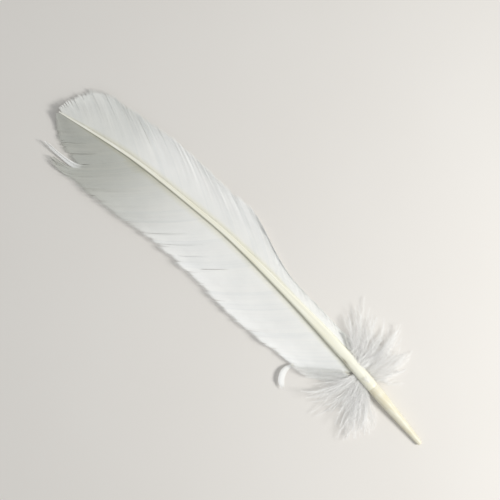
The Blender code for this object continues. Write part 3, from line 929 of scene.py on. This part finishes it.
def barrel_material():
    n = Nodes("barrel_keratin")
    n.plain(Coat_Weight=0.12, Coat_Roughness=0.4, Specular_IOR_Level=0.4, Alpha=0.86)
    base = n.ramp(n.attribute("along"), (
        (0.0, (0.95, 0.92, 0.79)), (0.15, (0.96, 0.94, 0.80)), (0.75, (0.97, 0.955, 0.82)),
        (0.97, (0.98, 0.965, 0.84)),
    ))
    streaks = n.noise(n.mapped((900, 40, 900)), 1.0, 4.0, 0.6)
    tint = n.ramp(streaks, ((0.3, (0.93, 0.90, 0.82)), (0.62, (1.0, 1.0, 1.0))))
    patch = n.ramp(n.noise(n.mapped(), 160.0), ((0.35, (0.95, 0.92, 0.85)), (0.65, (1, 1, 1))))
    n.colour(n.blend(n.blend(base, tint, 1.0, "MULTIPLY"), patch, 1.0, "MULTIPLY"))
    n.roughness(n.between(streaks, 0.3, 0.55))
    n.bump(streaks, 0.25, 0.00005)
    return n.material


def membrane_material():
    n = Nodes("dried_membrane")
    n.plain(Specular_IOR_Level=0.3)
    patch = n.noise(n.mapped(), 900.0, 4.0)
    n.colour(n.ramp(patch, ((0.3, (0.34, 0.24, 0.14)), (0.7, (0.58, 0.45, 0.29)))))
    n.roughness(n.between(patch, 0.5, 0.8))
    n.bump(patch, 0.4, 0.0001)
    return n.material


def pith_material():
    n = Nodes("pith_foam_cells")
    n.plain(Specular_IOR_Level=0.2)
    cells = n.noise(n.mapped(), 3500.0, 2.0)
    n.colour(n.ramp(cells, ((0.3, (0.84, 0.82, 0.76)), (0.7, (0.93, 0.92, 0.88)))))
    n.roughness(n.between(cells, 0.8, 0.95))
    n.bump(cells, 0.5, 0.0001)
    return n.material


def floor_material():
    n = Nodes("pale_tabletop")
    n.plain(Specular_IOR_Level=0.25)
    cloud = n.noise(n.mapped(), 9.0, 4.0)
    n.colour(n.ramp(cloud, ((0.3, (0.81, 0.785, 0.75)), (0.7, (0.825, 0.803, 0.77)))))
    n.roughness(n.between(cloud, 0.7, 0.8))
    return n.material


# Camera, light and floor, in metres

VIEW_CENTRE = (0.0109, 0.00635, 1.0)
VIEW_TURN = -47.5
VIEW_HALF_WIDTH = 0.15225
VIEW_DISTANCE = 0.995  # down to the height of the vane
SENSOR = 36
FLOOR_HALF = 2.0
LIGHT_AIM = (0, 0.02, 0)


def add_camera():
    """Straight down, with the vane's tip at the upper left as in the photograph."""
    camera = bpy.data.objects.new("camera", bpy.data.cameras.new("camera"))
    bpy.context.scene.collection.objects.link(camera)
    camera.location = VIEW_CENTRE
    camera.rotation_euler = (0, 0, math.radians(VIEW_TURN))
    camera.data.sensor_width = SENSOR
    camera.data.lens = SENSOR / 2 / math.tan(math.atan(VIEW_HALF_WIDTH / VIEW_DISTANCE))
    bpy.context.scene.camera = camera


def add_area(name, location, size, energy, colour):
    data = bpy.data.lights.new(name, "AREA")
    data.shape = "DISK"
    data.size = size
    data.energy = energy
    data.color = colour
    light = bpy.data.objects.new(name, data)
    light.location = location
    bpy.context.scene.collection.objects.link(light)
    direction = Vector(LIGHT_AIM) - light.location
    light.rotation_euler = direction.to_track_quat("-Z", "Y").to_euler()


def add_surroundings():
    mesh = bpy.data.meshes.new("floor")
    half = FLOOR_HALF
    corners = [(-half, -half, 0), (half, -half, 0), (half, half, 0), (-half, half, 0)]
    mesh.from_pydata(corners, [], [(0, 1, 2, 3)])
    mesh.materials.append(floor_material())
    floor = bpy.data.objects.new("floor", mesh)
    bpy.context.scene.collection.objects.link(floor)

    add_area("key", (0.317, -0.523, 0.55), 0.26, 4.4, (1.0, 0.985, 0.96))

    world = bpy.data.worlds.new("pale_room")
    bpy.context.scene.world = world
    world.use_nodes = True
    back = world.node_tree.nodes["Background"]
    back.inputs["Color"].default_value = (0.955, 0.965, 0.965, 1)
    back.inputs["Strength"].default_value = 0.49
    bpy.context.scene.view_settings.view_transform = "Standard"


# Everything, in order

# Where along their barbs the painted shade fades out: on the wide vane's rim and on the loose locks
rim_clear_from, lock_clear_from = 0.94, 0.55
vane = vane_material("wide_barb_keratin", WIDE_TIP_PAINTED_SHADE, WIDE_PAINTED_SHADE_START, rim_clear_from)
tip_vane = vane_material("tip_barb_keratin", WIDE_TIP_PAINTED_SHADE, WIDE_PAINTED_SHADE_START)
loose = vane_material("loose_barb_keratin", WIDE_TIP_PAINTED_SHADE, WIDE_PAINTED_SHADE_START, lock_clear_from)
narrow_vane = vane_material("narrow_barb_keratin", NARROW_TIP_PAINTED_SHADE, NARROW_PAINTED_SHADE_START)
down = down_material()
membrane = membrane_material()

add_camera()
add_surroundings()
add_shaft(shaft_material())
add_barrel(barrel_material())

for name, node in frame["nodes"].items():
    if name.startswith("pulp_cap") or name in ("pith_septum", "inferior_umbilicus_plug"):
        node.data.materials.clear()
        node.data.materials.append(membrane)
    elif name == "rachis_pith":
        node.data.materials.clear()
        node.data.materials.append(pith_material())

wide = Vane(WIDE_BARBS, -1, WIDE_RIM, WIDE_PITCH, 101, WIDE_SPLITS, WIDE_PARTINGS)
add_webs("wide", 1, wide, vane)
wide_tip = Vane(WIDE_TIP_BARBS, -1, WIDE_TIP_RIM, WIDE_PITCH, 102, WIDE_TIP_SPLITS, ())
add_webs("wide", len(WIDE_SPLITS), wide_tip, tip_vane, fringe=0.85)
narrow = Vane(NARROW_BARBS, 1, NARROW_RIM, NARROW_PITCH, 103, NARROW_SPLITS, NARROW_PARTINGS, 1.25)
add_webs("narrow", 1, narrow, narrow_vane)

loose_lock("loose_barb_lock_01", LOCK_1_ROOTS, LOCK_1_TIPS, 201, loose)
loose_lock("loose_barb_lock_02", LOCK_2_ROOTS, LOCK_2_TIPS, 202, tip_vane)
curled_strip(vane)
umbilicus_tuft(down)

add_down("wide", WIDE_DOWN_BARBS, -1, 300, down)
add_down("narrow", NARROW_DOWN_BARBS, 1, 400, down)
